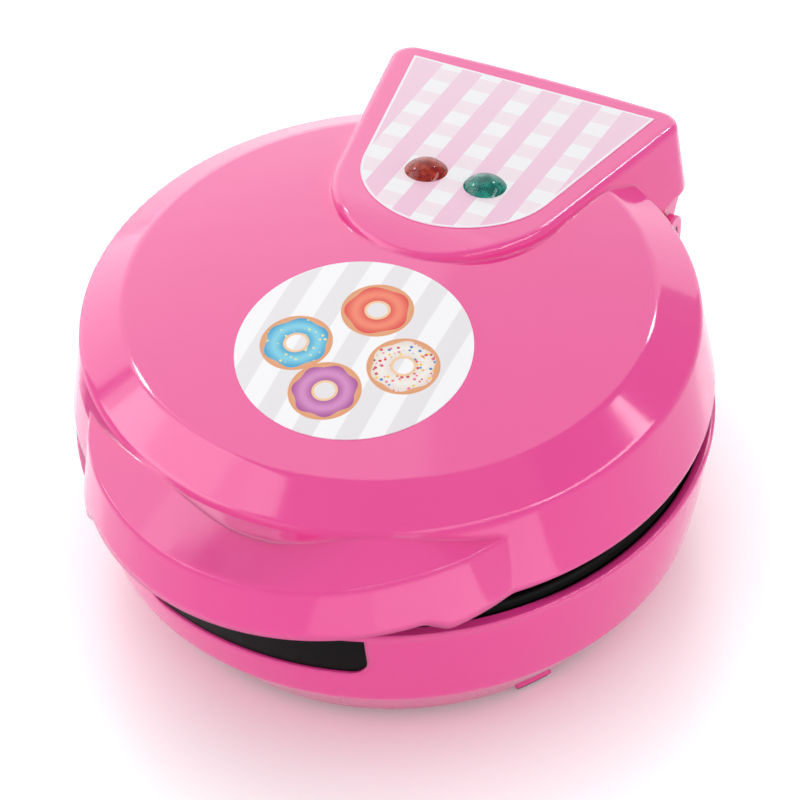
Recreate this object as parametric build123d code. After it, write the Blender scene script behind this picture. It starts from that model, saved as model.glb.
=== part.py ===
from build123d import *
import math
import os

# A countertop cake pop maker: two round cooking plates in a hinged, glossy plastic body.
# Millimetres, +Z up. The front is at -Y and the hinge at +Y. The origin is on the worktop,
# under the middle of the appliance. The lid is closed.

# ------------------------------------------------------------------ driving dimensions
# lid
LID_R = 110.0  # outer radius at the lower rim
LID_RIM_Z = 74.4
LID_TAPER = 8.5  # lean of the lid wall, in degrees
SHOULDER_Z = 105.2
SHOULDER_ROUND = 3.0
DISC_R = 90.3  # radius of the shallow dome inside the bevel
DISC_Z = 114.3
DISC_ROUND = 6.0
DOME_TOP_Z = 123.0
SKIN = 2.6  # wall of the moulded shells

# lip: the handle at the front of the lid
LIP_R = 83.5  # radius of its outline at the rim height
LIP_CY = -48.9  # centre of that outline
LIP_BLEND = 26.0  # hollow corner where the lip runs into the lid wall
LIP_BLOCK_Z = 103.0
LIP_TOP_Z = 100.6  # mean height of the lip's top at the lid wall
LIP_EDGE_Z = 99.5  # height of the lip's outer edge
LIP_WAVE = 4.0  # rise and fall of the lip's top along the wall
LIP_WAVE_LENGTH = 84.0
LIP_WIDTH = 22.0  # of its top, at the middle
LIP_EDGE_ROUND = 1.6
LIP_HOLLOW_Z = 94.0
PULL_HALF_WIDTH = 60.5  # the raised stretch of the lip's lower edge
PULL_Z = 79.8

# tongue: the raised housing over the hinge
TONGUE_TAPER = 6.0
TONGUE_FOOT_Z = 64.0  # level at which its outline is stated
TONGUE_NOSE_R = 47.7
TONGUE_NOSE_Y = 52.0
TONGUE_FLARE = 0.172  # how much its sides spread towards the rear
TONGUE_REAR_Y = 133.54
TONGUE_BOW = 2.4
TONGUE_CORNER_R = 13.0
TONGUE_TOP_ROUND = 2.8
TONGUE_SLOPE = 0.153  # fall of its top towards the rear
TONGUE_BEND_Y = 30.0  # the flat of its top starts here
TONGUE_BEND_Z = 125.02
TONGUE_NOSE_Z = 120.2  # where the roll at its front would reach y = 2
TONGUE_CLOSE_Z = 82.5  # lower edge of its walls
CHEEK_X0 = 52.5
CHEEK_X1 = 55.5
CHEEK_R = 8.5

# hinge
HINGE_Y = 106.0
HINGE_Z = 73.5
PIN_R = 3.0
PIN_PLAY = 0.06
EAR_R = 7.0
EAR_X0 = 56.7
EAR_X1 = 59.9

# base
RING_R = 88.2  # lowest edge of the base
RING_Z = 3.5
WALL_FOOT_R = 103.7
WALL_FOOT_Z = 25.5
WALL_TOP_R = 109.1
RIM_R = 110.2
RIM_BEAD_Z = 60.0
RIM_Z = 63.2
RIM_INNER_R = 106.8
LEDGE_R = 76.0
COVER_R = 78.8
FOOT_ANGLES = (-124, -56, 56, 124)
FOOT_Z = 1.3
INSERT_FROM = -26.0  # the black front insert, degrees from the front
INSERT_TO = 20.0
INSERT_Z0 = 41.0
INSERT_Z1 = 59.0

# cooking plates, both alike; heights count from the face where they meet
MATE_Z = 68.8
MATE_GAP = 0.25
PLATE_R = 97.0
PLATE_T = 3.4
CAVITY_R = 18.5
BOSS_R = 20.7
OUTER_PITCH = 72.0
OUTER_COUNT = 9
INNER_PITCH = 28.0
INNER_COUNT = 3
FRAME_RISE = 11.2
FRAME_T = 2.5
FRAME_HOLE_R = 80.0
ELEMENT_R = 50.0
TUBE_R = 3.25
ELEMENT_RISE = 15.7
ELEMENT_END = 14.0  # cold ends, degrees either side of the rear
SHIELD_RISE = 24.6
SHIELD_T = 0.8
MID_PITCH = 85.5  # screws between the outer cavities
PLATE_SCREWS = (60, 180, 300)
BASE_POSTS = (20, 140, 260)
LID_POSTS = (75, 125, 235, 285)
LID_POST_R = 103.1
LIP_POSTS = ((-45, -105), (45, -105))
LIP_FLOOR_RISE = 2.0  # the floor of the lip sits this much higher than the frame ring

# top of the tongue and lid
LENS_X = 11.1
LENS_Y = 54.6
LENS_R = 7.5
LENS_RISE = 3.8
STICKER_T = 0.35


# ------------------------------------------------------------------ helpers
def tan(degrees):
    return math.tan(math.radians(degrees))


def polar(radius, degrees):
    """Point at an angle from the front (-Y), counted towards +X."""
    a = math.radians(degrees)
    return radius * math.sin(a), -radius * math.cos(a)


def disc(r, z0, z1, x=0.0, y=0.0):
    return Pos(x, y, z0) * extrude(Circle(r), amount=z1 - z0)


def ring(r_out, r_in, z0, z1):
    return Pos(0, 0, z0) * extrude(Circle(r_out) - Circle(r_in), amount=z1 - z0)


def spun(*points):
    """Solid of revolution from a closed outline of (radius, height) points."""
    return revolve(Plane.XZ * make_face(Polyline(*points, close=True)), axis=Axis.Z)


def spread(solid_at, places):
    """The same solid at several (x, y) places."""
    made = [solid_at(x, y) for x, y in places]
    return sum(made[1:], start=made[0])


def across(face, x0, x1):
    """A side-view outline, drawn as (y, z), made solid between x0 and x1."""
    return Pos(x0, 0, 0) * extrude(Plane.YZ * face, amount=x1 - x0)


def flip(solid):
    """Mirror a lid-side solid about the face where the plates meet."""
    return mirror(solid, about=Plane.XY.offset(MATE_Z))


def inset_corner(point, n1, n2, inset):
    """Corner of two lines moved inwards; n1 and n2 are their outward normals."""
    k = inset / (1 + n1[0] * n2[0] + n1[1] * n2[1])
    return point[0] - k * (n1[0] + n2[0]), point[1] - k * (n1[1] + n2[1])


def screw(x, y, z, length, up=True, head_r=2.9, shank_r=1.45):
    """Pan-head screw whose head sits on the level z; the shank runs up or down from it."""
    way = 1 if up else -1
    shank = Pos(x, y, z) * extrude(Circle(shank_r), amount=way * length)
    head = Pos(x, y, z) * extrude(Circle(head_r), amount=-way * 1.9)
    rim = head.edges().sort_by(Axis.Z)[0 if up else -1]
    head = fillet(rim, 0.9)
    slot = Pos(x, y, z - way * 1.9) * (Box(3.4, 0.8, 1.4) + Box(0.8, 3.4, 1.4))
    return head + shank - slot


# ------------------------------------------------------------------ lid outline
SHOULDER_R = LID_R - (SHOULDER_Z - LID_RIM_Z) * tan(LID_TAPER)
DOME_RADIUS = (DISC_R**2 + (DOME_TOP_Z - DISC_Z) ** 2) / (2 * (DOME_TOP_Z - DISC_Z))
DOME_CZ = DOME_TOP_Z - DOME_RADIUS


def dome_z(r, lift=0.0):
    return DOME_CZ + math.sqrt((DOME_RADIUS + lift) ** 2 - r**2)


def lid_body(inset, bottom_z=LID_RIM_Z):
    """Dome, bevel and wall as one solid of revolution, moved inwards by inset."""
    wall_n = (math.cos(math.radians(LID_TAPER)), math.sin(math.radians(LID_TAPER)))
    run = SHOULDER_R - DISC_R
    rise = DISC_Z - SHOULDER_Z
    bevel_n = (rise / math.hypot(run, rise), run / math.hypot(run, rise))
    dome_n = (DISC_R / DOME_RADIUS, math.sqrt(1 - (DISC_R / DOME_RADIUS) ** 2))
    shoulder = inset_corner((SHOULDER_R, SHOULDER_Z), wall_n, bevel_n, inset)
    edge = inset_corner((DISC_R, DISC_Z), bevel_n, dome_n, inset)
    foot = (LID_R - inset / wall_n[0] - (bottom_z - LID_RIM_Z) * tan(LID_TAPER), bottom_z)
    mid_r = edge[0] / 2
    face = make_face(
        [
            Line((0, bottom_z), foot),
            Line(foot, shoulder),
            Line(shoulder, edge),
            ThreePointArc(edge, (mid_r, dome_z(mid_r, -inset)), (0, DOME_TOP_Z - inset)),
            Line((0, DOME_TOP_Z - inset), (0, bottom_z)),
        ]
    )
    bend = face.vertices().sort_by_distance((*shoulder, 0))[0]
    face = fillet(bend, max(SHOULDER_ROUND - inset, 0.4))
    bend = face.vertices().sort_by_distance((*edge, 0))[0]
    face = fillet(bend, DISC_ROUND)
    return revolve(Plane.XZ * face, axis=Axis.Z)


def lip_outline(inset):
    """Plan of the lip at the rim height, with hollow blends that run just inside the lid wall."""
    core = LID_R - 0.5 - inset
    lip = LIP_R - inset
    blend = LIP_BLEND + inset
    blend_y = ((core + blend) ** 2 - (lip + blend) ** 2 + LIP_CY**2) / (2 * LIP_CY)
    blend_x = math.sqrt((core + blend) ** 2 - blend_y**2)
    core_k = core / (core + blend)
    lip_k = lip / (lip + blend)
    core_end = (blend_x * core_k, blend_y * core_k)
    lip_end = (blend_x * lip_k, LIP_CY + (blend_y - LIP_CY) * lip_k)
    chord = ((core_end[0] + lip_end[0]) / 2 - blend_x, (core_end[1] + lip_end[1]) / 2 - blend_y)
    k = blend / math.hypot(*chord)
    mid = (blend_x + chord[0] * k, blend_y + chord[1] * k)

    def left(point):
        return -point[0], point[1]

    return make_face(
        [
            ThreePointArc(left(lip_end), (0, LIP_CY - lip), lip_end),
            ThreePointArc(lip_end, mid, core_end),
            ThreePointArc(core_end, (0, core), left(core_end)),
            ThreePointArc(left(core_end), left(mid), left(lip_end)),
        ]
    )


def lip_block(inset, top_z):
    outline = Pos(0, 0, LID_RIM_Z) * lip_outline(inset)
    return extrude(outline, amount=top_z - LID_RIM_Z, taper=LID_TAPER)


def lip_wave(x, level, swing):
    return level + swing * math.cos(2 * math.pi * x / LIP_WAVE_LENGTH)


def above_lip():
    """Everything above the lip's top: a ruled sheet between two waves, raised upwards.

    The wave is full at the lid wall and dies out at the lip's outer edge.
    """
    in_by = 7.4  # the sheet starts this far inside the lid wall
    out_by = 20.0  # and runs this far past the outer edge
    slope = (LIP_TOP_Z - LIP_EDGE_Z) / LIP_WIDTH
    inner_r = SHOULDER_R - in_by
    inner_z = LIP_TOP_Z + slope * in_by
    outer_r = LIP_R - (LIP_EDGE_Z - LID_RIM_Z) * tan(LID_TAPER) + out_by
    outer_z = LIP_EDGE_Z - slope * out_by
    inner = []
    outer = []
    for x in range(-91, 92, 14):
        near_y = -math.sqrt(inner_r**2 - x**2)
        far_y = LIP_CY - math.sqrt(outer_r**2 - x**2)
        inner.append((x, near_y, lip_wave(x, inner_z, -LIP_WAVE * (1 + in_by / LIP_WIDTH))))
        outer.append((x, far_y, lip_wave(x, outer_z, LIP_WAVE * out_by / LIP_WIDTH)))
    sheet = Face.make_surface_from_curves(Spline(*inner), Spline(*outer))
    return extrude(sheet, amount=40, dir=(0, 0, 1))


def lip_solid():
    """The lip, with its two crests reaching up to the rounded shoulder of the lid."""
    crests = lip_block(0, SHOULDER_Z + 1.3) & Pos(0, -100, 100) * Box(150, 90, 20)
    return lip_block(0, LIP_BLOCK_Z) + crests - above_lip()


# ------------------------------------------------------------------ tongue outline
def tongue_outline():
    lean = math.atan(TONGUE_FLARE)
    tx = TONGUE_NOSE_R * math.cos(lean)
    ty = TONGUE_NOSE_Y - TONGUE_NOSE_R * math.sin(lean)
    cy = TONGUE_REAR_Y - TONGUE_BOW
    cx = tx + TONGUE_FLARE * (cy - ty)
    face = make_face(
        [
            ThreePointArc((-tx, ty), (0, TONGUE_NOSE_Y - TONGUE_NOSE_R), (tx, ty)),
            Line((tx, ty), (cx, cy)),
            ThreePointArc((cx, cy), (0, TONGUE_REAR_Y), (-cx, cy)),
            Line((-cx, cy), (-tx, ty)),
        ]
    )
    return fillet(face.vertices().sort_by(Axis.Y)[-2:], TONGUE_CORNER_R)


def tongue_z(y):
    """Height of the flat, sloping part of the tongue's top."""
    return TONGUE_BEND_Z - TONGUE_SLOPE * (y - TONGUE_BEND_Y)


def tongue_top_line(lift):
    """Side view of the tongue's top: the slope, then an arc that rolls over to the front."""
    bend = (TONGUE_BEND_Y, TONGUE_BEND_Z + lift)
    slope = Line((150, tongue_z(150) + lift), bend)
    roll = TangentArc(bend, (2, TONGUE_NOSE_Z + lift), tangent=(-1, TONGUE_SLOPE))
    return slope + roll


def tongue_block(inset):
    """The tongue as a tapered block, moved inwards by inset."""
    outline = tongue_outline()
    if inset:
        outline = offset(outline, amount=-inset)
    block = Pos(0, 0, TONGUE_FOOT_Z) * extrude(outline, amount=64, taper=TONGUE_TAPER)
    top = tongue_top_line(-inset)
    over = Polyline(top @ 1, (2, 140), (150, 140), top @ 0)
    return block - across(make_face(top.edges() + over.edges()), -90, 90)


def tongue_outer():
    block = tongue_block(0)
    fold = (0, TONGUE_BEND_Y, TONGUE_BEND_Z)
    tops = [e for e in block.edges() if e.center().Z > 103]
    rim = [e for e in tops if e.distance_to(Vertex(*fold)) > 5]
    return fillet(rim, TONGUE_TOP_ROUND)


# ------------------------------------------------------------------ lid group
def lid_post_places():
    return [polar(LID_POST_R, a) for a in LID_POSTS]


def lid_holes(r, z0, z1):
    return spread(lambda x, y: disc(r, z0, z1, x, y), lid_post_places() + list(LIP_POSTS))


def cheek():
    """Side plate that reaches from the tongue's wall down to the hinge pin."""
    plate = make_hull(
        (Pos(HINGE_Y, HINGE_Z) * Circle(CHEEK_R)).edges()
        + Polyline((98, 84.5), (127, 84.5), (127, 92), (98, 92), close=True).edges()
    )
    return across(plate, CHEEK_X0, CHEEK_X1)


def tongue_cover_places():
    return [(-38, 119), (38, 119)]


def make_lid_shell():
    frame_z = MATE_Z + FRAME_RISE + FRAME_T
    plain = lid_body(0)
    body = plain + lip_solid()
    edge = [e for e in body.edges() if e.center().Y < -120 and e.center().Z > 95]
    body = fillet(edge, LIP_EDGE_ROUND)
    tongue = tongue_outer()
    below = Pos(0, 90, TONGUE_CLOSE_Z - 50) * Box(200, 260, 100)
    body += tongue - below
    # hollow it, and put back the lid wall behind the plates
    tongue_room = tongue_block(SKIN)
    body -= lid_body(SKIN)
    body -= Pos(0, 0, -0.01) * (lip_block(SKIN, LIP_HOLLOW_Z) & Pos(0, -100, 85) * Box(300, 140, 60))
    body -= tongue_room & Pos(0, 90, 110) * Box(200, 260, 60)
    wall = (lid_body(0) - lid_body(SKIN)) & Pos(0, 100, 80.7) * Box(104, 60, 12.6)
    body += wall
    cheeks = cheek() & tongue_block(0)
    body += cheeks + mirror(cheeks, about=Plane.YZ)
    # posts for the screws
    posts = spread(lambda x, y: disc(3.4, frame_z, 110, x, y), lid_post_places())
    body += posts & lid_body(1.2)
    lip_floor_z = frame_z + LIP_FLOOR_RISE
    body += spread(lambda x, y: disc(3.4, lip_floor_z, LIP_HOLLOW_Z + 1, x, y), LIP_POSTS)
    posts = spread(lambda x, y: disc(3.4, 86.5, 118, x, y), tongue_cover_places())
    body += posts & tongue_block(1.2)
    body -= lid_holes(1.55, frame_z - 1, frame_z + 11)
    body -= spread(lambda x, y: disc(1.55, 85.5, 98, x, y), tongue_cover_places())
    # pin bores, lens holes and the raised pull edge
    bore = Pos(0, HINGE_Y, HINGE_Z) * Rot(0, 90, 0) * Cylinder(PIN_R + PIN_PLAY, 130)
    body -= bore
    for x in (-LENS_X, LENS_X):
        body -= lens_plane(x) * Cylinder(5.3, 16)
    body -= pull_cut()
    return body


def pull_cut():
    """Raises the lip's lower edge over its middle, with a rounded step at each end."""
    w = PULL_HALF_WIDTH
    points = [(-84, 70), (-84, LID_RIM_Z), (-w - 6, LID_RIM_Z), (-w, PULL_Z)]
    points += [(w, PULL_Z), (w + 6, LID_RIM_Z), (84, LID_RIM_Z), (84, 70)]
    face = make_face(Polyline(*points, close=True))
    steps = [v for v in face.vertices() if abs(v.X) < 80]
    face = fillet(steps, 3.5)
    return Pos(0, -60, 0) * extrude(Plane.XZ * face, amount=90)


def lens_plane(x):
    """Plane on the tongue's top at a lens, facing out of it."""
    return Plane((x, LENS_Y, tongue_z(LENS_Y)), x_dir=(1, 0, 0), z_dir=(0, TONGUE_SLOPE, 1))


def frame_ring():
    """Flat ring with nine scallops that clear the cavity bosses."""
    z0 = MATE_Z + FRAME_RISE
    plate = ring(PLATE_R + 8.9, FRAME_HOLE_R, z0, z0 + FRAME_T)
    plate -= spread(lambda x, y: disc(19.6, z0 - 1, z0 + 4, x, y), cavity_places(OUTER_COUNT, OUTER_PITCH))
    return plate


def make_lid_inner_frame():
    z0 = MATE_Z + FRAME_RISE
    floor_z = z0 + LIP_FLOOR_RISE
    lip_r = LIP_R - (floor_z + FRAME_T - LID_RIM_Z) * tan(LID_TAPER) - SKIN - 0.2
    lip = disc(lip_r, floor_z, floor_z + FRAME_T, 0, LIP_CY) - disc(100.0, z0 - 1, z0 + 9)
    lip -= Pos(0, 60, z0) * Box(300, 200, 20)
    frame = frame_ring() + lip
    frame += ring(100.0, 98.0, 75.0, z0 + 1)
    frame -= lid_holes(1.7, z0 - 1, z0 + 9)
    frame -= spread(lambda x, y: disc(1.7, z0 - 1, z0 + 5, x, y), mid_places(PLATE_SCREWS))
    return frame


def make_tongue_cover():
    cover = tongue_block(SKIN + 0.2) & Pos(0, 110, 85.5) * Box(104.6, 60, 2.0)
    cover -= disc(LID_R, 80, 90)
    cover -= spread(lambda x, y: disc(1.7, 80, 90, x, y), tongue_cover_places())
    return cover


def make_round_label():
    edge = 84.0
    mid = edge / 2
    face = make_face(
        [
            ThreePointArc((0, dome_z(0)), (mid, dome_z(mid)), (edge, dome_z(edge))),
            Line((edge, dome_z(edge)), (edge, dome_z(edge, STICKER_T))),
            ThreePointArc(
                (edge, dome_z(edge, STICKER_T)), (mid, dome_z(mid, STICKER_T)), (0, dome_z(0, STICKER_T))
            ),
            Line((0, dome_z(0, STICKER_T)), (0, dome_z(0))),
        ]
    )
    return revolve(Plane.XZ * face, axis=Axis.Z) & disc(39.8, 100, 140, 3.9, -34.9)


def make_panel_label():
    low = tongue_top_line(0)
    high = tongue_top_line(STICKER_T)
    ends = [Line(low @ 1, high @ 1), Line(low @ 0, high @ 0)]
    sheet = across(make_face(low.edges() + high.edges() + ends), -60, 60)
    front = (Pos(0, 60.2) * Circle(35.0)).edges()
    back = Polyline((-46.4, 120.3), (46.4, 120.3), (44.0, 112.0), (-44.0, 112.0), close=True).edges()
    outline = make_hull(front + back)
    label = sheet & Pos(0, 0, 90) * extrude(outline, amount=50)
    for x in (-LENS_X, LENS_X):
        label -= lens_plane(x) * Cylinder(5.3, 16)
    return label


def make_lens(x):
    """Domed lens with a short hollow stem through the tongue's skin."""
    r = (LENS_R**2 + LENS_RISE**2) / (2 * LENS_RISE)
    foot = STICKER_T
    face = make_face(
        [
            Line((0, foot + LENS_RISE), (0, foot + 1.4)),
            Line((0, foot + 1.4), (3.9, foot + 0.2)),
            Line((3.9, foot + 0.2), (3.9, -4.4)),
            Line((3.9, -4.4), (5.0, -4.4)),
            Line((5.0, -4.4), (5.0, foot)),
            Line((5.0, foot), (LENS_R, foot)),
            ThreePointArc(
                (LENS_R, foot),
                (LENS_R / 2, foot + LENS_RISE - r + math.sqrt(r**2 - LENS_R**2 / 4)),
                (0, foot + LENS_RISE),
            ),
        ]
    )
    return lens_plane(x) * revolve(Plane.XZ * face, axis=Axis.Z)


def make_lamp_holder():
    local = Pos(0, 0, -13.6) * extrude(RectangleRounded(44, 18, 5), amount=1.8)
    for x in (-LENS_X, LENS_X):
        local += disc(7.2, -13.6, -2.8, x) - disc(5.4, -11.8, -2.0, x)
    for x in (-19, 19):
        local += disc(2.6, -12.0, -2.8, x)
    return lens_plane(0) * local


def make_neon_lamps():
    lamp = disc(2.2, -11.7, -6.0) + Pos(0, 0, -6.0) * Sphere(2.2)
    return lens_plane(-LENS_X) * lamp + lens_plane(LENS_X) * lamp


# ------------------------------------------------------------------ cooking plates
def cavity_places(count, pitch):
    return [polar(pitch, 360.0 / count * k) for k in range(count)]


def all_cavities():
    return cavity_places(OUTER_COUNT, OUTER_PITCH) + cavity_places(INNER_COUNT, INNER_PITCH)


def mid_places(angles):
    return [polar(MID_PITCH, a) for a in angles]


def element_path_ends():
    return [polar(ELEMENT_R, 180 - ELEMENT_END), polar(ELEMENT_R, 180 + ELEMENT_END)]


def make_plate():
    """Upper plate: flange, twelve hemispherical cups, heater groove and stiff rim."""
    under = MATE_Z + MATE_GAP
    top = MATE_Z + PLATE_T
    plate = disc(PLATE_R, under, top)
    plate += ring(PLATE_R, PLATE_R - 2.5, under, MATE_Z + FRAME_RISE)
    plate += ring(ELEMENT_R + 4.0, ELEMENT_R - 4.0, under, MATE_Z + ELEMENT_RISE)
    balls = [Pos(x, y, MATE_Z) * Sphere(BOSS_R) for x, y in all_cavities()]
    lower_half = Pos(0, 0, under - 60) * Box(300, 300, 120)
    plate += sum(balls[1:], start=balls[0]) - lower_half
    plate += spread(lambda x, y: disc(4.0, under, MATE_Z + FRAME_RISE, x, y), mid_places(PLATE_SCREWS))
    plate -= Pos(0, 0, MATE_Z + ELEMENT_RISE) * Torus(ELEMENT_R, TUBE_R + 0.08)
    plate -= spread(lambda x, y: disc(1.55, top + 0.6, 90, x, y), mid_places(PLATE_SCREWS))
    for x, y in all_cavities():
        plate -= Pos(x, y, MATE_Z) * Sphere(CAVITY_R)
    return plate


def make_element():
    """Ring of tube with a gap at the rear, where its two cold ends stand up."""
    z = MATE_Z + ELEMENT_RISE
    x, y = polar(90, 180 - ELEMENT_END)
    gap = Pos(0, 0, z - 8) * extrude(make_face(Polyline((0, 0), (x, y), (-x, y), close=True)), amount=16)
    tube = Pos(0, 0, z) * Torus(ELEMENT_R, TUBE_R) - gap
    for x, y in element_path_ends():
        tube += Pos(x, y, z) * Sphere(TUBE_R)
        tube += disc(TUBE_R, z, z + 11.5, x, y)
        tube += disc(1.2, z + 11, z + 17, x, y)
    return tube


def make_shield():
    """Dished steel disc behind a plate; its flange lies on the frame."""
    z0 = MATE_Z + FRAME_RISE + FRAME_T
    z1 = MATE_Z + SHIELD_RISE
    t = SHIELD_T
    below = ((0, z1), (84, z1), (93.4, z0), (99, z0))
    above = ((99, z0 + t), (94.1, z0 + t), (84.5, z1 + t), (0, z1 + t))
    dish = spun(*below, *above)
    dish -= spread(lambda x, y: disc(4.4, z1 - 2, z1 + 3, x, y), element_path_ends())
    return dish


def make_plate_screws():
    z = MATE_Z + FRAME_RISE + FRAME_T
    return spread(lambda x, y: screw(x, y, z, 9.0, up=False), mid_places(PLATE_SCREWS))


# ------------------------------------------------------------------ base group
def base_outline(inset):
    """Outer side of the base, as one solid of revolution drawn in by inset."""
    foot = (RING_R - inset, RING_Z)
    knee = (WALL_FOOT_R - inset, WALL_FOOT_Z)
    top = (WALL_TOP_R - inset, RIM_BEAD_Z)
    mid = (WALL_FOOT_R - inset + 3.35, (WALL_FOOT_Z + RIM_BEAD_Z) / 2)
    face = make_face(
        [
            Line((0, RING_Z), foot),
            Line(foot, knee),
            ThreePointArc(knee, mid, top),
            Line(top, (top[0], RIM_Z)),
            Line((top[0], RIM_Z), (0, RIM_Z)),
            Line((0, RIM_Z), (0, RING_Z)),
        ]
    )
    bend = face.vertices().sort_by_distance((*knee, 0))[0]
    return revolve(Plane.XZ * fillet(bend, 4.0), axis=Axis.Z)


def window(grow, z0, z1):
    """Front opening of the base as a block; its lower corners are rounded."""
    mid_r = 107.0
    x0 = polar(mid_r, INSERT_FROM)[0] - grow
    x1 = polar(mid_r, INSERT_TO)[0] + grow
    points = ((x0, z0 - grow), (x1, z0 - grow), (x1, z1 + grow), (x0, z1 + grow))
    face = make_face(Polyline(*points, close=True))
    low = face.vertices().sort_by(Axis.Y)[:2]
    face = fillet(low, 7.0 + grow)
    return Pos(0, -70, 0) * extrude(Plane.XZ * face, amount=60)


def ear():
    """Upright plate that carries a hinge pin, merging into the base wall."""
    knuckle = (Pos(HINGE_Y, HINGE_Z) * Circle(EAR_R)).face()
    points = ((99.05, 73.2), (112.95, 72.6), (108.4, 47.0), (87.0, 29.0), (90.9, 58.0), (95.0, 62.6))
    web = make_face(Polyline(*points, close=True))
    web = fillet([v for v in web.vertices() if v.Y < 50 and v.X > 100], 9.0)
    plate = across(knuckle + web, EAR_X0, EAR_X1)
    return plate


def foot_arc(a, r0, r1, width, z0, z1):
    """Short arc-shaped block centred on an angle from the front."""
    block = ring(r1, r0, z0, z1)
    (x0, y0), (x1, y1) = polar(130, a - width / 2), polar(130, a + width / 2)
    wedge = extrude(make_face(Polyline((0, 0), (x0, y0), (x1, y1), close=True)), amount=z1 - z0 + 2)
    return block & Pos(0, 0, z0 - 1) * wedge


def cover_screw_places():
    return [polar(73.3, a) for a in (45, 135, 225, 315)]


def make_base_shell():
    frame_low = MATE_Z - FRAME_RISE - FRAME_T
    room = spun(
        (0, 8.5),
        (88.5, 8.5),
        (101.2, 26.5),
        (105.4, 48.0),
        (106.3, 54.9),
        (106.3, 60.5),
        (RIM_INNER_R, 61.2),
        (RIM_INNER_R, 70),
        (0, 70),
    )
    body = base_outline(0)
    body += ring(RIM_R, 100, RIM_BEAD_Z, RIM_Z)
    bead = [e for e in body.edges() if e.center().Z > RIM_BEAD_Z - 0.1 and e.length > 690]
    body = fillet(bead, 1.0)
    ears = ear()
    body += ears + mirror(ears, about=Plane.YZ)
    body += Pos(0, 105.8, 32) * Rot(90, 0, 0) * Cylinder(10.2, 6)
    for a in FOOT_ANGLES:
        body += foot_arc(a, 79.5, 87.8, 9.0, FOOT_Z, 6.0)
    body -= room
    body -= disc(79.1, 0, 6.0)
    body -= disc(LEDGE_R, 0, 20)
    posts = spread(lambda x, y: disc(3.8, 8.0, frame_low, x, y), mid_places(BASE_POSTS))
    body += posts
    body += spread(lambda x, y: disc(3.6, 6.0, 15.0, x, y), cover_screw_places())
    body -= spread(lambda x, y: disc(1.55, frame_low - 13, 60, x, y), mid_places(BASE_POSTS))
    body -= spread(lambda x, y: disc(1.55, 5, 13.5, x, y), cover_screw_places())
    body -= window(0.0, INSERT_Z0, INSERT_Z1)
    body -= Pos(0, 104, 32) * Rot(90, 0, 0) * Cylinder(5.1, 20)
    for side in (-1, 1):
        body -= Pos(side * 58.3, HINGE_Y, HINGE_Z) * Rot(0, 90, 0) * Cylinder(PIN_R + 0.02, 6)
    return body


def make_front_insert():
    panel = (base_outline(0.7) - base_outline(SKIN)) & window(-0.15, INSERT_Z0, INSERT_Z1)
    back = (base_outline(4.0) - base_outline(5.2)) & window(3.0, INSERT_Z0, INSERT_Z1 - 8)
    link = (base_outline(SKIN - 0.4) - base_outline(4.4)) & window(-2.0, INSERT_Z0, INSERT_Z1 - 3)
    return panel + link + back


def make_base_inner_frame():
    z0 = MATE_Z - FRAME_RISE - FRAME_T
    band = make_face(
        [
            Line((98.0, z0), (105.9, z0)),
            Line((105.9, z0), (105.9, 63.4)),
            ThreePointArc((105.9, 63.4), (102.6, 66.0), (98.0, 64.6)),
            Line((98.0, 64.6), (98.0, z0)),
        ]
    )
    room = make_face(Polyline((100.0, z0 - 1), (103.9, z0 - 1), (103.9, 62.0), (100.0, 62.0), close=True))
    frame = flip(frame_ring()) & disc(104.0, 0, 100)
    frame += revolve(Plane.XZ * (band - room), axis=Axis.Z)
    frame -= spread(lambda x, y: disc(1.7, z0 - 1, z0 + 5, x, y), mid_places(PLATE_SCREWS + BASE_POSTS))
    return frame


def make_lower_shield():
    dish = flip(make_shield())
    return dish - spread(lambda x, y: disc(4.8, 40, 60, x, y), mid_places(BASE_POSTS))


def make_bottom_cover():
    cover = disc(COVER_R, RING_Z, 5.9)
    cover -= spread(lambda x, y: disc(3.3, 0, 5.2, x, y), cover_screw_places())
    cover -= spread(lambda x, y: disc(1.7, 0, 9, x, y), cover_screw_places())
    return cover


def make_foot_pads():
    pads = [foot_arc(a, 80.3, 87.0, 8.0, 0.0, FOOT_Z) for a in FOOT_ANGLES]
    return sum(pads[1:], start=pads[0])


def make_cord_gland():
    gland = Rot(-90, 0, 0) * (disc(9.0, 108.8, 110.6) + disc(6.2, 110.6, 118.6) + disc(4.9, 96.6, 108.8))
    gland += Rot(-90, 0, 0) * disc(7.6, 96.8, 98.6)
    tip = gland.edges().sort_by(Axis.Y)[-1]
    gland = fillet(tip, 1.4)
    gland -= Pos(0, 108, 0) * Rot(90, 0, 0) * Cylinder(3.5, 40)
    return Pos(0, 0, 32) * gland


def make_hinge_pin(side):
    turn = Rot(0, 90 * side, 0)
    pin = turn * (disc(PIN_R, 51.0, EAR_X1 - 0.3) + disc(4.6, 50.9, 52.2))
    return Pos(0, HINGE_Y, HINGE_Z) * pin


def make_thermostat():
    z = MATE_Z - SHIELD_RISE - SHIELD_T
    return disc(8.2, z - 6.5, z - 1.0, -20, 8) + disc(6.0, z - 10.5, z - 6.5, -20, 8) + mount_tab(-20, 8, z)


def mount_tab(x, y, z):
    return Pos(x, y, z - 1.0) * extrude(SlotOverall(30, 8), amount=1.0)


def make_thermal_fuse():
    return Pos(0, 28, 37) * Rot(0, 90, 0) * fillet(Cylinder(2.4, 30).edges(), 0.8)


def make_terminal_block():
    block = Pos(0, 81.5, 8.5) * extrude(RectangleRounded(30, 10, 1.5), amount=11)
    for x in (-10, 0, 10):
        block -= disc(2.4, 14, 21, x, 81.5)
    return block


def lead(*points):
    path = Spline(*points)
    return sweep(Plane(origin=path @ 0, z_dir=path % 0) * RegularPolygon(1.1, 8), path=path)


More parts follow.
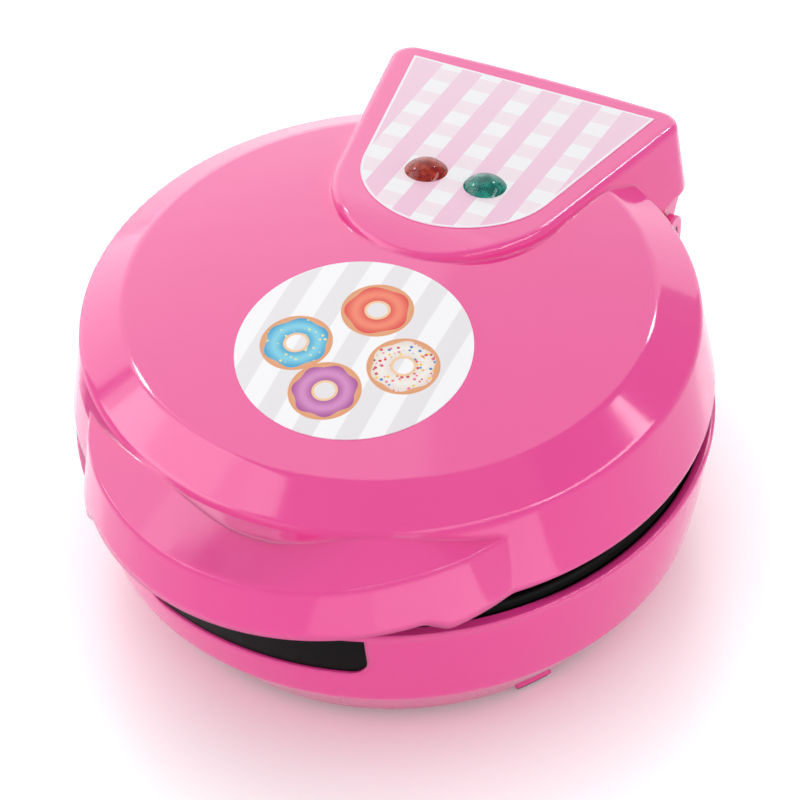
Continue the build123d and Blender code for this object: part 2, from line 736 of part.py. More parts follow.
def make_base_leads():
    leads = lead((-1.6, 102, 32), (-1.6, 97, 32), (-7, 90, 30), (-10, 81.5, 20.9))
    leads += lead((1.6, 102, 32), (1.6, 97, 32), (7, 90, 30), (10, 81.5, 20.9))
    leads += lead((-12, 75, 14), (-26, 45, 18), (-20, 10, 30.5))
    leads += lead((-28.5, 6, 34.5), (-30, 22, 34), (-17, 28, 37))
    leads += lead((17, 28, 37), (24, 40, 33), (12.1, 48.5, 34.5))
    leads += lead((12, 75, 14), (-2, 60, 20), (-12.1, 48.5, 34.5))
    return leads


def make_lid_leads():
    leads = lead((-12.1, 48.5, 103), (-22, 60, 104), (-17, 70, 103))
    leads += lead((12.1, 48.5, 103), (22, 60, 104), (17, 70, 103))
    leads += lead((-15, 74, 103), (-28, 95, 98), (-44, 106, 92))
    leads += lead((15, 74, 103), (28, 95, 98), (44, 106, 92))
    return leads


def make_screws_up(places, z, length):
    return spread(lambda x, y: screw(x, y, z, length), places)


def make_lid_frame_screws():
    z = MATE_Z + FRAME_RISE
    lip_screws = make_screws_up(LIP_POSTS, z + LIP_FLOOR_RISE, 9.0)
    return make_screws_up(lid_post_places(), z, 10.0) + lip_screws


NODES = {
    "lid_shell": make_lid_shell,
    "tongue_cover": make_tongue_cover,
    "lid_inner_frame": make_lid_inner_frame,
    "round_label": make_round_label,
    "panel_label": make_panel_label,
    "lamp_lens_red": lambda: make_lens(-LENS_X),
    "lamp_lens_green": lambda: make_lens(LENS_X),
    "lamp_holder": make_lamp_holder,
    "neon_lamps": make_neon_lamps,
    "lid_leads": make_lid_leads,
    "upper_plate": make_plate,
    "upper_element": make_element,
    "upper_heat_shield": make_shield,
    "lid_frame_screws": make_lid_frame_screws,
    "tongue_cover_screws": lambda: make_screws_up(tongue_cover_places(), 84.5, 9.0),
    "upper_plate_screws": make_plate_screws,
    "base_shell": make_base_shell,
    "front_insert": make_front_insert,
    "base_inner_frame": make_base_inner_frame,
    "lower_plate": lambda: flip(make_plate()),
    "lower_element": lambda: flip(make_element()),
    "lower_heat_shield": make_lower_shield,
    "thermostat": make_thermostat,
    "thermal_fuse": make_thermal_fuse,
    "terminal_block": make_terminal_block,
    "base_leads": make_base_leads,
    "cord_gland": make_cord_gland,
    "bottom_cover": make_bottom_cover,
    "foot_pads": make_foot_pads,
    "hinge_pin_left": lambda: make_hinge_pin(-1),
    "hinge_pin_right": lambda: make_hinge_pin(1),
    "base_frame_screws": lambda: spread(
        lambda x, y: screw(x, y, MATE_Z - FRAME_RISE, 12.0, up=False), mid_places(BASE_POSTS)
    ),
    "lower_plate_screws": lambda: flip(make_plate_screws()),
    "bottom_cover_screws": lambda: make_screws_up(cover_screw_places(), 5.2, 7.0),
}

if __name__ == "__main__":
    os.makedirs("parts", exist_ok=True)
    for node, make in NODES.items():
        solid = make()
        export_step(solid, f"parts/{node}.step")
        print(node, round(solid.volume), len(solid.solids()), solid.is_valid, solid.bounding_box())
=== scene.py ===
import math

import bpy
from mathutils import Matrix, Vector


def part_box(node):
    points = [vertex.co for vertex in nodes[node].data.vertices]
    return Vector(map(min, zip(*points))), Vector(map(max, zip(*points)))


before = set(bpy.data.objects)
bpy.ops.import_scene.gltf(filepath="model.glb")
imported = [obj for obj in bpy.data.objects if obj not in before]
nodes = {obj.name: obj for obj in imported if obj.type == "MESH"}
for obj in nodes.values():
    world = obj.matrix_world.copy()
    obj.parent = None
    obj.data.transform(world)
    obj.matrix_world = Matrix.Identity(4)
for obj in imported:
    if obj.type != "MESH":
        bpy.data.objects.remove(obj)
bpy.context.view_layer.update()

# ------------------------------------------------------------------ sizes of the part, in millimetres
MM = 1000.0
SHOULDER_Z = 105.2  # where the lid wall ends and the bevel starts
LIP_CENTRE_Y = -48.9  # centre of the lip's outline
LIP_FOOT_R = 105.6  # where the lip's top meets the lid wall
panel_low, panel_high = ([v * MM for v in corner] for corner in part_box("panel_label"))
PANEL_NOSE_R = 35.0  # the striped sticker has a round front
PANEL_NOSE_Y = panel_low[1] + PANEL_NOSE_R
PANEL_HALF_WIDTH = panel_high[0]
PANEL_REAR_Y = panel_high[1]

NOISE_LOW = 0.3  # a noise seldom leaves this range
NOISE_HIGH = 0.7


# ------------------------------------------------------------------ node helpers
def rgb(r, g, b):
    """sRGB 0-255 as a linear colour."""
    def lin(v):
        v /= 255
        return v / 12.92 if v <= 0.04045 else ((v + 0.055) / 1.055) ** 2.4

    return lin(r), lin(g), lin(b), 1.0


class Nodes:
    """Short calls for building one material's node tree."""

    def __init__(self, name):
        self.mat = bpy.data.materials.new(name)
        self.mat.use_nodes = True
        self.tree = self.mat.node_tree
        self.shader = self.tree.nodes["Principled BSDF"]
        self.out = self.tree.nodes["Material Output"]

    def add(self, kind, **props):
        node = self.tree.nodes.new(kind)
        for key, value in props.items():
            setattr(node, key, value)
        return node

    def link(self, a, b):
        self.tree.links.new(a, b)

    def put(self, socket, value):
        if isinstance(value, bpy.types.NodeSocket):
            self.link(value, socket)
        else:
            socket.default_value = value

    def set(self, **values):
        """Values for the shader's own sockets."""
        for key, value in values.items():
            self.put(self.shader.inputs[key.replace("_", " ")], value)

    # numbers
    def math(self, op, a, b=0.0, c=0.0):
        node = self.add("ShaderNodeMath", operation=op)
        for socket, value in zip(node.inputs, (a, b, c)):
            self.put(socket, value)
        return node.outputs[0]

    def product(self, first, *factors):
        for factor in factors:
            first = self.math("MULTIPLY", first, factor)
        return first

    def reach(self, x, y):
        """Distance of x, y from 0, 0."""
        return self.math("SQRT", self.math("ADD", self.product(x, x), self.product(y, y)))

    def span(self, value, lo, hi, to_lo, to_hi):
        """The range lo to hi spread over to_lo to to_hi, and held at both ends."""
        node = self.add("ShaderNodeMapRange")
        for socket, v in zip(node.inputs, (value, lo, hi, to_lo, to_hi)):
            self.put(socket, v)
        return node.outputs[0]

    def above(self, value, edge, soft):
        """0 below edge and 1 above it, over a soft width."""
        return self.span(value, edge - soft, edge + soft, 0.0, 1.0)

    def below(self, value, edge, soft):
        return self.math("SUBTRACT", 1.0, self.above(value, edge, soft))

    # vectors
    def object_space(self):
        return self.add("ShaderNodeTexCoord").outputs["Object"]

    def parts(self, value):
        node = self.add("ShaderNodeSeparateXYZ")
        self.link(value, node.inputs[0])
        return node.outputs

    def position(self):
        """Object coordinates x, y, z in millimetres."""
        return [self.product(part, MM) for part in self.parts(self.object_space())]

    def vector(self, op, a, b=None, scale=None):
        node = self.add("ShaderNodeVectorMath", operation=op)
        self.put(node.inputs[0], a)
        if b is not None:
            self.put(node.inputs[1], b)
        if scale is not None:
            self.put(node.inputs["Scale"], scale)
        return node.outputs[0]

    def turned(self, normal, origin, target):
        """A normal from world to object space or back, so that it follows a body that moves."""
        props = {"vector_type": "NORMAL", "convert_from": origin, "convert_to": target}
        node = self.add("ShaderNodeVectorTransform", **props)
        self.link(normal, node.inputs[0])
        return node.outputs[0]

    # colour and surface
    def mix(self, fac, a, b):
        node = self.add("ShaderNodeMix", data_type="RGBA")
        self.put(node.inputs[0], fac)
        self.put(node.inputs[6], a)
        self.put(node.inputs[7], b)
        return node.outputs[2]

    def noise(self, scale, detail=2.0, rough=0.5, coords=None):
        node = self.add("ShaderNodeTexNoise")
        node.inputs["Scale"].default_value = scale
        node.inputs["Detail"].default_value = detail
        node.inputs["Roughness"].default_value = rough
        self.link(coords or self.object_space(), node.inputs["Vector"])
        return node.outputs["Fac"]

    def bump(self, height, strength, distance, normal=None):
        node = self.add("ShaderNodeBump")
        node.inputs["Strength"].default_value = strength
        node.inputs["Distance"].default_value = distance
        self.link(height, node.inputs["Height"])
        if normal:
            self.link(normal, node.inputs["Normal"])
        self.link(node.outputs[0], self.shader.inputs["Normal"])

    def tones(self, height, low, high):
        """Base colour between two tones."""
        self.set(Base_Color=self.mix(height, rgb(*low), rgb(*high)))

    def rough(self, height, low, high):
        """Roughness between two values, as a noise goes."""
        self.set(Roughness=self.span(height, NOISE_LOW, NOISE_HIGH, low, high))


def dress(material, *names):
    for name in names:
        slots = nodes[name].data.materials
        slots.clear()
        slots.append(material)


# ------------------------------------------------------------------ pink shells
LIP_FRONT_Y = -66.0  # the lip lies in front of this line
LEAN = 0.34  # how far the lip's top leans outwards
LEAN_LEFT = 0.15  # the same at its left end
FILLET_OUTER_R = 107.4  # the fillet between the lid wall and the lip's top
FILLET_LOW_Z = 93.0
FILLET_HIGH_Z = 103.4
FILLET_END_X = 12.0
FILLET_LIFT = 0.85
CORNER_RADIUS = 0.0018  # metres
LIP_CORNER_RADIUS = 0.004


def moulded_corner(m, x, y, z, normal):
    """Eases the lip's top and the hollow corner behind it, which a mould rounds more than the CAD."""
    normal = m.turned(normal, "WORLD", "OBJECT")
    face = m.turned(m.add("ShaderNodeNewGeometry").outputs["Normal"], "WORLD", "OBJECT")
    flat = m.above(m.parts(face)[2], 0.75, 0.08)
    steep = m.math("SUBTRACT", 1.0, flat)
    r = m.reach(x, y)
    front = m.below(y, LIP_FRONT_Y, 6.0)
    # the lip's top leans outwards from the lip's own centre, and less at its left end
    lean = m.span(x, -56.0, -20.0, LEAN_LEFT, LEAN)
    away = m.add("ShaderNodeCombineXYZ")
    m.put(away.inputs[0], x)
    m.put(away.inputs[1], m.math("SUBTRACT", y, LIP_CENTRE_Y))
    away = m.vector("SCALE", m.vector("NORMALIZE", away.outputs[0]), scale=lean)
    top = m.vector("NORMALIZE", m.vector("ADD", away, (0.0, 0.0, 1.0)))
    on_lip = m.product(m.above(r, LIP_FOOT_R, 0.6), front, m.below(z, SHOULDER_Z, 0.8), flat)
    blend = m.add("ShaderNodeMix", data_type="VECTOR")
    m.put(blend.inputs[0], on_lip)
    m.put(blend.inputs[4], normal)
    m.put(blend.inputs[5], top)
    # the short wall behind it is one large fillet, which runs out to the right
    behind = m.product(m.below(r, FILLET_OUTER_R, 0.4), front, m.below(x, FILLET_END_X, 6.0))
    height = m.product(m.above(z, FILLET_LOW_Z, 1.0), m.below(z, FILLET_HIGH_Z, 0.4))
    lift = m.add("ShaderNodeCombineXYZ")
    m.put(lift.inputs[2], m.product(behind, height, steep, FILLET_LIFT))
    eased = m.vector("NORMALIZE", m.vector("ADD", blend.outputs[1], lift.outputs[0]))
    return m.turned(eased, "OBJECT", "WORLD")


def pink_plastic():
    """Glossy moulded shell, with its corners softened as a mould does, most of all around the lip."""
    m = Nodes("pink_gloss_plastic")
    x, y, z = m.position()
    m.tones(m.span(m.noise(9.0, 3.0), NOISE_LOW, NOISE_HIGH, 0.0, 1.0), (240, 58, 150), (243, 66, 154))
    m.rough(m.noise(140.0, 4.0), 0.07, 0.10)
    m.set(IOR=1.5)
    corner = m.add("ShaderNodeBevel", samples=8)
    around_lip = m.product(m.below(y, -70.0, 8.0), m.below(z, 106.0, 1.5))
    m.put(corner.inputs["Radius"], m.span(around_lip, 0.0, 1.0, CORNER_RADIUS, LIP_CORNER_RADIUS))
    m.bump(m.noise(420.0, 2.0), 0.04, 0.00008, moulded_corner(m, x, y, z, corner.outputs[0]))
    return m.mat


# ------------------------------------------------------------------ plain materials
def black_plastic():
    m = Nodes("black_satin_plastic")
    m.tones(m.noise(30.0, 4.0), (5, 4, 5), (11, 9, 10))
    m.rough(m.noise(300.0, 3.0), 0.32, 0.45)
    m.set(Specular_IOR_Level=0.05)
    m.bump(m.noise(1400.0, 3.0), 0.25, 0.0001)
    return m.mat


def pale_plastic():
    m = Nodes("pale_ceramic")
    m.tones(m.noise(60.0, 4.0), (214, 208, 196), (232, 228, 218))
    m.rough(m.noise(300.0, 3.0), 0.45, 0.6)
    m.bump(m.noise(900.0, 3.0), 0.2, 0.0001)
    return m.mat


def rubber():
    m = Nodes("grey_rubber")
    m.tones(m.noise(200.0, 4.0), (46, 44, 46), (64, 62, 64))
    m.rough(m.noise(500.0, 3.0), 0.7, 0.85)
    m.bump(m.noise(2200.0, 3.0), 0.4, 0.00015)
    return m.mat


def coated_metal():
    """Dark non-stick coating with fine specks."""
    m = Nodes("dark_nonstick")
    speck = m.add("ShaderNodeTexVoronoi")
    speck.inputs["Scale"].default_value = 900.0
    m.link(m.object_space(), speck.inputs["Vector"])
    dots = m.span(speck.outputs["Distance"], 0.05, 0.18, 1.0, 0.0)
    m.tones(m.product(dots, 0.5), (38, 36, 38), (96, 94, 96))
    m.rough(m.noise(120.0, 4.0), 0.28, 0.42)
    m.set(Metallic=0.35)
    m.bump(m.noise(1600.0, 4.0), 0.3, 0.00012)
    return m.mat


def steel(name, low, high, roughness):
    """Metal with a grain that runs along x."""
    m = Nodes(name)
    stretch = m.add("ShaderNodeMapping")
    stretch.inputs["Scale"].default_value = (1.0, 18.0, 18.0)
    m.link(m.object_space(), stretch.inputs["Vector"])
    grain = m.noise(60.0, 5.0, 0.6, stretch.outputs[0])
    m.tones(grain, low, high)
    m.rough(grain, roughness - 0.06, roughness + 0.08)
    m.set(Metallic=1.0)
    m.bump(grain, 0.15, 0.0001)
    return m.mat


def sleeve():
    """Woven sleeve of the inner leads."""
    m = Nodes("woven_sleeve")
    wave = m.add("ShaderNodeTexWave")
    wave.inputs["Scale"].default_value = 700.0
    m.link(m.object_space(), wave.inputs["Vector"])
    weave = wave.outputs["Fac"]
    m.tones(weave, (206, 200, 188), (236, 232, 224))
    m.set(Roughness=m.span(weave, 0.0, 1.0, 0.75, 0.9))
    m.bump(weave, 0.4, 0.0002)
    return m.mat


# ------------------------------------------------------------------ lenses and lamps
LENS_GRID = 0.42  # half the pitch of the lens facets, in millimetres


def facets(m, value):
    """0 to 1 and back across each facet; the offset keeps the value above zero."""
    return m.math("DIVIDE", m.math("PINGPONG", m.math("ADD", value, 50.0), LENS_GRID), LENS_GRID)


def tinted_lens(name, low, high, groove_shade):
    """Tinted plastic with a moulded grid of small facets; the grooves between the facets are painted
    darker, as painted shade.
    """
    m = Nodes(name)
    x, y, _ = m.position()
    grid = m.product(facets(m, x), facets(m, y))
    blotch = m.noise(420.0, 3.0)
    # painted shade: the colour turns darker along the grooves between the facets
    colour = m.mix(m.span(grid, 0.1, 0.7, 0.0, 1.0), rgb(*groove_shade), rgb(*low))
    pale = m.product(m.span(blotch, 0.45, 0.7, 0.0, 1.0), 0.5)
    m.set(Base_Color=m.mix(pale, colour, rgb(*high)), Specular_IOR_Level=0.2)
    m.rough(blotch, 0.05, 0.09)
    m.bump(grid, 0.05, 0.0003)
    return m.mat


def neon_glass():
    m = Nodes("neon_glass")
    m.tones(m.noise(300.0), (255, 214, 190), (255, 236, 222))
    m.rough(m.noise(500.0), 0.05, 0.12)
    m.set(Transmission_Weight=0.8, IOR=1.5)
    return m.mat


# ------------------------------------------------------------------ stickers, in millimetres
PRINT_EDGE = 0.12  # soft edge of what is printed
STRIPED_HALF_WIDTH = 37.0  # outside it the striped sticker is plain pink
BORDER = 0.9  # its white border

DOUGH_R, DOUGH_HOLE_R = 12.2, 3.4
ICING_R, ICING_HOLE_R = 10.6, 4.4
ICING_WAVE = 0.55
ICING_RIDGE_R = 7.4  # the highest line of the icing
# for each ring: centre, colour of the icing, colour of its ridge, waves around it
RINGS = {
    "sky": ((-14.6, -40.4), (18, 158, 208), (120, 208, 232), 6),
    "coral": ((4.4, -17.4), (226, 50, 40), (246, 128, 96), 5),
    "plum": ((3.4, -56.2), (168, 62, 150), (214, 134, 196), 7),
    "milk": ((23.0, -37.0), (236, 222, 214), (246, 240, 234), 6),
}
SPRINKLES = ((0.0, (214, 40, 60)), (0.3, (250, 200, 60)), (0.55, (60, 130, 200)), (0.75, (240, 120, 150)))


def sticker_finish(m, colour):
    m.set(Base_Color=colour, Specular_IOR_Level=0.3)
    m.rough(m.noise(260.0, 3.0), 0.30, 0.40)
    m.bump(m.noise(900.0, 2.0), 0.06, 0.00006)
    return m.mat


def stripes(m, value, period, duty, offset):
    """1 on stripes of width period * duty, 0 between them."""
    phase = m.math("PINGPONG", m.math("SUBTRACT", value, offset), period / 2)
    return m.below(phase, period * duty / 2, PRINT_EDGE)


def inside_border(m, x, y):
    """1 inside a copy of the striped sticker's outline that is smaller by the border."""
    # its straight side touches the round front and ends at the rear corner
    length = PANEL_REAR_Y - PANEL_NOSE_Y
    to_corner = math.hypot(PANEL_HALF_WIDTH, length)
    turn = math.atan2(PANEL_HALF_WIDTH, length) + math.acos(PANEL_NOSE_R / to_corner)
    side_x, side_y = math.sin(turn), math.cos(turn)
    side_reach = side_x * PANEL_HALF_WIDTH + side_y * PANEL_REAR_Y
    side = m.math("ADD", m.product(m.math("ABSOLUTE", x), side_x), m.product(y, side_y))
    nose = m.reach(x, m.math("SUBTRACT", y, PANEL_NOSE_Y))
    in_nose = m.below(nose, PANEL_NOSE_R - BORDER, PRINT_EDGE)
    in_side = m.below(side, side_reach - BORDER, PRINT_EDGE)
    in_rear = m.below(y, PANEL_REAR_Y - BORDER, PRINT_EDGE)
    beyond = m.above(y, PANEL_NOSE_Y + PANEL_NOSE_R * side_y, 0.05)
    return m.math("MAXIMUM", in_nose, m.product(in_side, in_rear, beyond))


def striped_sticker():
    """Pink and white stripes with faint cross checks, and a thin white border."""
    m = Nodes("striped_sticker")
    x, y, _ = m.position()
    within = m.below(m.math("ABSOLUTE", x), STRIPED_HALF_WIDTH, 0.1)
    white = m.product(stripes(m, x, period=15.4, duty=0.507, offset=0.0), within)
    check = stripes(m, y, period=15.8, duty=0.5, offset=2.0)
    fade = m.span(y, 30.0, 115.0, 0.0, 1.0)
    pink = m.mix(fade, rgb(240, 192, 217), rgb(240, 205, 223))
    pale = m.mix(check, rgb(244, 243, 246), rgb(243, 226, 234))
    colour = m.mix(inside_border(m, x, y), rgb(246, 240, 246), m.mix(white, pink, pale))
    return sticker_finish(m, colour)


def iced_ring(m, colour, x, y, place, icing, ridge, waves):
    """Draws one iced ring over a colour; returns the new colour and where its icing is."""
    dx = m.math("SUBTRACT", x, place[0])
    dy = m.math("SUBTRACT", y, place[1])
    r = m.reach(dx, dy)
    turn = m.product(m.math("ARCTAN2", dy, dx), float(waves))
    wavy_r = m.math("ADD", r, m.product(m.math("SINE", turn), ICING_WAVE))
    dough = m.product(m.below(r, DOUGH_R, PRINT_EDGE), m.above(r, DOUGH_HOLE_R, PRINT_EDGE))
    glaze = m.product(m.below(wavy_r, ICING_R, PRINT_EDGE), m.above(r, ICING_HOLE_R, PRINT_EDGE))
    baked = m.mix(m.span(r, DOUGH_HOLE_R, DOUGH_R, 0.0, 1.0), rgb(246, 205, 160), rgb(226, 150, 96))
    from_ridge = m.math("ABSOLUTE", m.math("SUBTRACT", r, ICING_RIDGE_R))
    shine = m.mix(m.span(from_ridge, 0.4, 3.2, 0.0, 1.0), rgb(*ridge), rgb(*icing))
    return m.mix(glaze, m.mix(dough, colour, baked), shine), glaze


def sprinkles(m, scale, size):
    """Small dots: where they are, and a chance colour for each."""
    cells = m.add("ShaderNodeTexVoronoi")
    cells.inputs["Scale"].default_value = scale
    m.link(m.object_space(), cells.inputs["Vector"])
    return m.below(cells.outputs["Distance"], size, 0.04), cells.outputs["Color"]


def sprinkle_shade(m, chance):
    """Turns a chance colour into one of the sprinkles' own."""
    pick = m.add("ShaderNodeSeparateColor")
    m.link(chance, pick.inputs[0])
    ramp = m.add("ShaderNodeValToRGB")
    ramp.color_ramp.interpolation = "CONSTANT"
    for place, shade in SPRINKLES:
        ramp.color_ramp.elements.new(place).color = rgb(*shade)
    m.link(pick.outputs[0], ramp.inputs[0])
    return ramp.outputs[0]


def round_sticker():
    """White film with pale grey stripes and four plain iced rings."""
    m = Nodes("round_sticker")
    x, y, _ = m.position()
    grey = stripes(m, x, period=14.6, duty=0.5, offset=3.9)
    colour = m.mix(grey, rgb(252, 251, 254), rgb(236, 233, 237))
    glaze = {}
    for name, ring in RINGS.items():
        colour, glaze[name] = iced_ring(m, colour, x, y, *ring)
    many, chance = sprinkles(m, 620.0, 0.36)
    colour = m.mix(m.product(many, glaze["milk"]), colour, sprinkle_shade(m, chance))
    few, _ = sprinkles(m, 420.0, 0.2)
    colour = m.mix(m.product(few, glaze["sky"]), colour, rgb(250, 236, 150))
    return sticker_finish(m, colour)


# ------------------------------------------------------------------ which piece wears what
black = black_plastic()
plated = steel("plated_steel", (128, 129, 132), (160, 161, 164), 0.34)
heater = steel("heater_tube", (120, 118, 112), (160, 157, 150), 0.42)
sheet = steel("rolled_sheet", (184, 186, 188), (212, 214, 216), 0.35)
dress(pink_plastic(), "lid_shell", "base_shell")
dress(black, "tongue_cover", "lid_inner_frame", "base_inner_frame", "front_insert", "bottom_cover")
dress(black, "lamp_holder", "cord_gland")
dress(pale_plastic(), "terminal_block", "thermostat")
dress(coated_metal(), "upper_plate", "lower_plate")
dress(heater, "upper_element", "lower_element", "thermal_fuse")
dress(sheet, "upper_heat_shield", "lower_heat_shield")
dress(plated, "hinge_pin_left", "hinge_pin_right", "lid_frame_screws", "tongue_cover_screws")
dress(plated, "upper_plate_screws", "base_frame_screws", "lower_plate_screws", "bottom_cover_screws")
dress(rubber(), "foot_pads")
dress(sleeve(), "base_leads", "lid_leads")
dress(round_sticker(), "round_label")
dress(striped_sticker(), "panel_label")
dress(tinted_lens("red_lens", (190, 22, 14), (226, 84, 52), (112, 6, 6)), "lamp_lens_red")
dress(tinted_lens("green_lens", (0, 140, 122), (40, 190, 168), (0, 80, 74)), "lamp_lens_green")
dress(neon_glass(), "neon_lamps")


# ------------------------------------------------------------------ floor and world
FLOOR_HALF = 6.0
FLOOR_DROP = 0.0002  # keeps the floor clear of the feet
WHITE = (1.0, 1.0, 1.0, 1.0)
WORLD_LIGHT = 0.55  # what the world adds to the light on the object
WORLD_SEEN = 1.0  # the white that the camera, the gloss and glass show


def floor_material():
    m = Nodes("studio_floor")
    m.set(Base_Color=(0.9, 0.9, 0.9, 1.0), IOR=1.45)
    m.rough(m.noise(3.0), 0.26, 0.30)
    path = m.add("ShaderNodeLightPath").outputs
    seen = m.math("MAXIMUM", path["Is Camera Ray"], path["Is Glossy Ray"])
    seen = m.math("MAXIMUM", seen, path["Is Transmission Ray"])
    # the floor turns white away from the object; close to it the lift is weaker, a painted shadow that
    # deepens the real one
    x, y, _ = m.position()
    strength = m.span(m.reach(x, y), 90.0, 160.0, 0.12, 0.46)
    lift = m.add("ShaderNodeEmission")
    lift.inputs["Color"].default_value = WHITE
    m.put(lift.inputs["Strength"], m.product(seen, strength))
    both = m.add("ShaderNodeAddShader")
    m.link(m.shader.outputs[0], both.inputs[0])
    m.link(lift.outputs[0], both.inputs[1])
    m.link(both.outputs[0], m.out.inputs["Surface"])
    return m.mat


def build_floor():
    mesh = bpy.data.meshes.new("studio_floor")
    corners = [(x * FLOOR_HALF, y * FLOOR_HALF, 0) for x, y in ((-1, -1), (1, -1), (1, 1), (-1, 1))]
    mesh.from_pydata(corners, [], [(0, 1, 2, 3)])
    floor = bpy.data.objects.new("studio_floor", mesh)
    bpy.context.scene.collection.objects.link(floor)
    floor.location.z = -FLOOR_DROP
    mesh.materials.append(floor_material())


def build_world():
    world = bpy.data.worlds.new("studio")
    bpy.context.scene.world = world
    world.use_nodes = True
    tree = world.node_tree
    back = tree.nodes["Background"]
    path = tree.nodes.new("ShaderNodeLightPath").outputs
    seen = path["Is Camera Ray"]
    for ray in ("Is Transmission Ray", "Is Glossy Ray"):
        either = tree.nodes.new("ShaderNodeMath")
        either.operation = "MAXIMUM"
        tree.links.new(seen, either.inputs[0])
        tree.links.new(path[ray], either.inputs[1])
        seen = either.outputs[0]
    level = tree.nodes.new("ShaderNodeMapRange")
    tree.links.new(seen, level.inputs[0])
    level.inputs["To Min"].default_value = WORLD_LIGHT
    level.inputs["To Max"].default_value = WORLD_SEEN
    back.inputs["Color"].default_value = WHITE
    tree.links.new(level.outputs[0], back.inputs["Strength"])


# ------------------------------------------------------------------ lamps, in metres and degrees
AIM = Vector((0, 0, 0.07))  # the lamps face this point
FAR = 6.0
WALL_BEHIND = -176.5
PATCH_END = Vector((0.228, -0.100, 0.001))
PATCH_TURN = 58
PATCH_WIDTH = 0.13


def way(azimuth, elevation):
    """Direction out from the object; azimuth counts from the front (-Y) towards +X."""
    a, e = math.radians(azimuth), math.radians(elevation)
    return Vector((math.sin(a) * math.cos(e), -math.cos(a) * math.cos(e), math.sin(e)))


def wide(degrees, distance=FAR):
    """Size of a lamp that is seen that many degrees across."""
    return 2 * distance * math.tan(math.radians(degrees / 2))


def panel(name, azimuth, elevation, distance, size, level, diffuse=False, glossy=False, disc=False):
    """Lamp that faces the object; level is the brightness of its face, and white is 1."""
    width, height = size
    lamp = bpy.data.lights.new(name, "AREA")
    lamp.shape = "ELLIPSE" if disc else "RECTANGLE"
    lamp.size, lamp.size_y = width, height
    lamp.energy = level * math.pi * width * height * (math.pi / 4 if disc else 1)
    obj = bpy.data.objects.new(name, lamp)
    obj.location = way(azimuth, elevation) * distance + AIM
    obj.rotation_euler = (-way(azimuth, elevation)).to_track_quat("-Z", "Y").to_euler()
    obj.visible_diffuse = diffuse
    obj.visible_glossy = glossy
    obj.visible_camera = False
    bpy.context.scene.collection.objects.link(obj)
    return obj


def build_lights():
    """The soft lamps that light the object; the gloss shows only the two overhead."""
    panel("key", -132, 57, 1.7, (1.35, 1.35), 0.95, diffuse=True)
    for radius in (20, 30):
        size = wide(2 * radius)
        panel(f"overhead_{radius}", 20, 76, FAR, (size, size), 0.35, diffuse=True, glossy=True, disc=True)
    for azimuth in (-75, -10, 55, 120):
        panel(f"low_{azimuth}", azimuth, 12, 1.6, (1.3, 0.6), 1.3, diffuse=True)


def build_gloss_walls():
    """Tall pale walls on the left and behind, which only the gloss shows."""
    # azimuth, width, foot and top in degrees, and level
    walls = [(-64, 56, 24, 66, 2.8), (-128, 60, 0, 72, 2.3), (WALL_BEHIND, 37, 0, 72, 1.5)]
    # the one behind gets brighter upwards
    walls += [(WALL_BEHIND, 37, foot, 72, 0.35) for foot in (28, 34, 40, 46, 52)]
    for azimuth, width, foot, top, level in walls:
        low, high = (FAR * math.tan(math.radians(edge)) for edge in (foot, top))
        size = (wide(width), high - low)
        wall = panel(f"wall_{azimuth}_{foot}", azimuth, 0, FAR, size, level, glossy=True)
        wall.location.z = (low + high) / 2


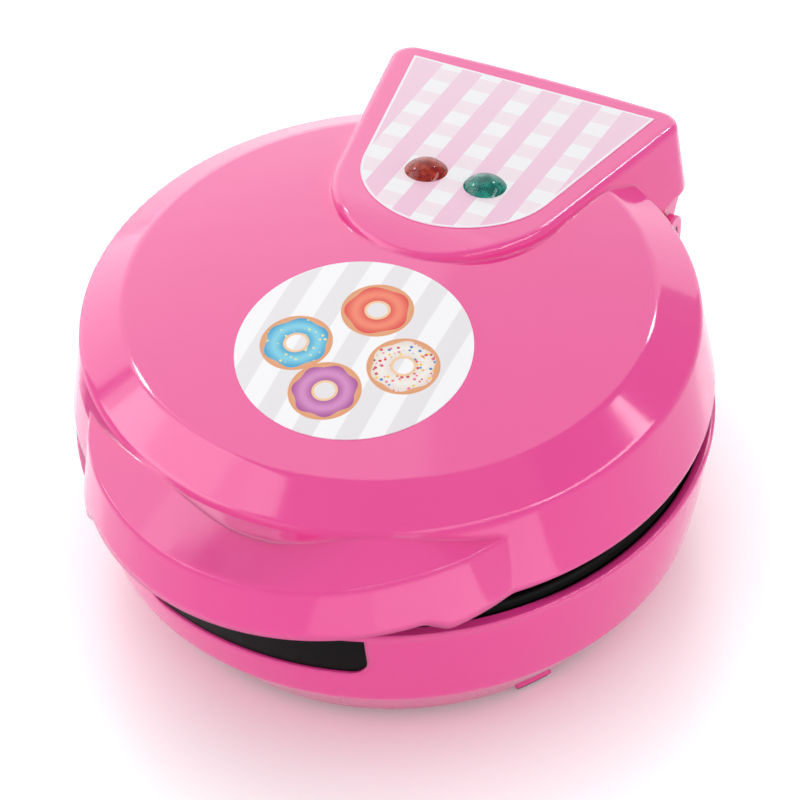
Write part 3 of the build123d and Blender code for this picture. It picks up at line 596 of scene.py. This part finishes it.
def build_gloss_lamps():
    """Smaller lights that only the gloss shows."""
    # a soft round light that fades outwards, on the left
    near = 5.5
    for radius in (9, 14, 19):
        size = wide(2 * radius, near)
        panel(f"glow_{radius}", -84, 45, near, (size, size), 0.95, glossy=True, disc=True)
    # two small lamps that only the edge of the dome shows
    panel("streak_left", -106, 42, FAR, (0.7, 0.7), 28, glossy=True)
    panel("streak_right", 165.5, 37, FAR, (0.5, 0.7), 34, glossy=True)
    # one broad band at the front left, and two thin ones for the rounded edges on the right
    panel("edge_left", -50, 36, FAR, (wide(76), wide(18)), 1.6, glossy=True)
    panel("edge_front", 58, 44, FAR, (wide(44), wide(9)), 6.0, glossy=True)
    panel("edge_right", 104, 43, FAR, (wide(44), wide(9)), 8.0, glossy=True)
    # a bright patch of floor at the front right
    for length, level in ((0.15, 1.4), (0.23, 0.9)):
        patch = panel("patch", 0, 0, 1.0, (length, PATCH_WIDTH), level, glossy=True)
        turn = math.radians(PATCH_TURN)
        patch.location = PATCH_END - Vector((math.cos(turn), math.sin(turn), 0)) * length / 2
        patch.rotation_euler = (math.pi, 0, turn)


# ------------------------------------------------------------------ camera, fitted to the photograph
CAMERA_AZIMUTH = 27.283
CAMERA_ELEVATION = 43.883
CAMERA_ROLL = -3.225
CAMERA_AIM = Vector((0, 0, 0.0635))
CAMERA_DISTANCE = 1.5373
CAMERA_SHIFT = (0.001699, 0.000598)  # towards the picture's right and top, in metres
SENSOR_WIDTH = 36.0
PHOTO_WIDTH_PX = 800
FOCAL_LENGTH_PX = 4460


def build_camera():
    """Stands at the photograph's viewing angle; a long lens, slightly rolled."""
    azimuth, roll = math.radians(CAMERA_AZIMUTH), math.radians(CAMERA_ROLL)
    back = way(CAMERA_AZIMUTH, CAMERA_ELEVATION)
    right = Vector((math.cos(azimuth), math.sin(azimuth), 0.0))
    up = back.cross(right)
    side = right * math.cos(roll) + up * math.sin(roll)
    top = -right * math.sin(roll) + up * math.cos(roll)
    place = CAMERA_AIM + back * CAMERA_DISTANCE + side * CAMERA_SHIFT[0] + top * CAMERA_SHIFT[1]
    camera = bpy.data.cameras.new("camera")
    camera.sensor_width = SENSOR_WIDTH
    camera.lens = SENSOR_WIDTH * FOCAL_LENGTH_PX / PHOTO_WIDTH_PX
    camera.clip_start = 0.05
    obj = bpy.data.objects.new("camera", camera)
    obj.matrix_world = Matrix(
        (
            (side.x, top.x, back.x, place.x),
            (side.y, top.y, back.y, place.y),
            (side.z, top.z, back.z, place.z),
            (0, 0, 0, 1),
        )
    )
    bpy.context.scene.collection.objects.link(obj)
    bpy.context.scene.camera = obj


build_floor()
build_world()
build_lights()
build_gloss_walls()
build_gloss_lamps()
build_camera()
bpy.context.scene.view_settings.view_transform = "Standard"
